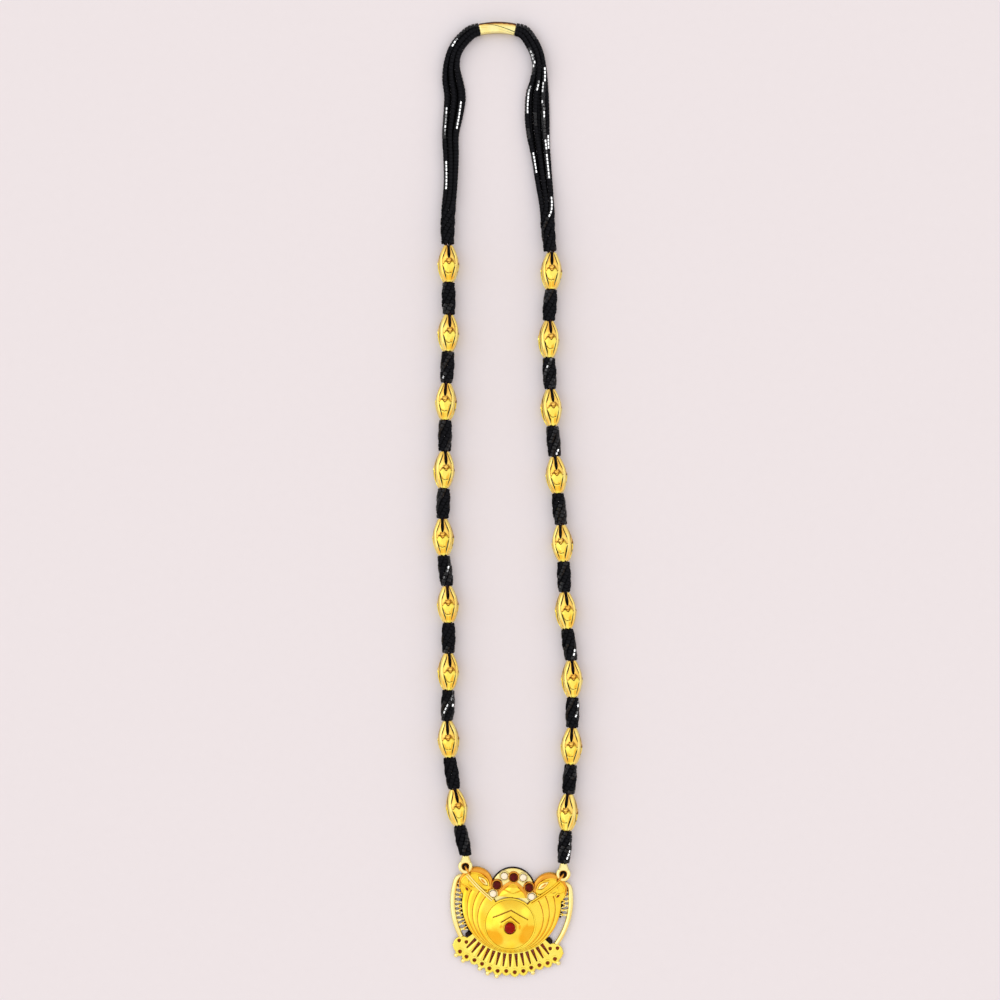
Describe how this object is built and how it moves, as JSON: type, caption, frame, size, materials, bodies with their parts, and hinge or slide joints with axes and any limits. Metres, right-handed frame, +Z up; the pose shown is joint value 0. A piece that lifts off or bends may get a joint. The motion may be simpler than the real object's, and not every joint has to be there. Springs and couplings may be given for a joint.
{
  "type": "mangalsutra",
  "caption": "Long necklace of twisted black bead strings with slotted gold beads and a gold bowl pendant with a pierced comb, laid flat.",
  "frame": {"origin": "middle of the laid loop's box, on the surface it lies on", "axes": "+Z up from the surface, +Y along the loop from the pendant to the sleeve at the back of the neck, +X to the right seen from above"},
  "size_m": [0.0533, 0.3437, 0.0078],
  "materials": {
    "gold": "polished yellow gold plating",
    "pale_gold": "polished pale gold",
    "black_beads": "glossy black seed beads",
    "red_stone": "cut deep red glass",
    "pale_stone": "cut pale glass"
  },
  "bodies": {
    "root": {"pendant": "gold", "centre_stone": "red_stone", "left_end_ring": "pale_gold", "right_end_ring": "pale_gold", "left_strand": "black_beads", "right_strand": "black_beads", "back_sleeve": "pale_gold", "red_stone_left": "red_stone", "red_stone_centre": "red_stone", "red_stone_right": "red_stone", "pale_stone_1": "pale_stone", "pale_stone_2": "pale_stone", "pale_stone_3": "pale_stone", "pale_stone_4": "pale_stone", "gold_bead_left_1": "gold", "gold_bead_left_2": "gold", "gold_bead_left_3": "gold", "gold_bead_left_4": "gold", "gold_bead_left_5": "gold", "gold_bead_left_6": "gold", "gold_bead_left_7": "gold", "gold_bead_left_8": "gold", "gold_bead_left_9": "gold", "gold_bead_right_1": "gold", "gold_bead_right_2": "gold", "gold_bead_right_3": "gold", "gold_bead_right_4": "gold", "gold_bead_right_5": "gold", "gold_bead_right_6": "gold", "gold_bead_right_7": "gold", "gold_bead_right_8": "gold", "gold_bead_right_9": "gold"}
  },
  "joints": []
}
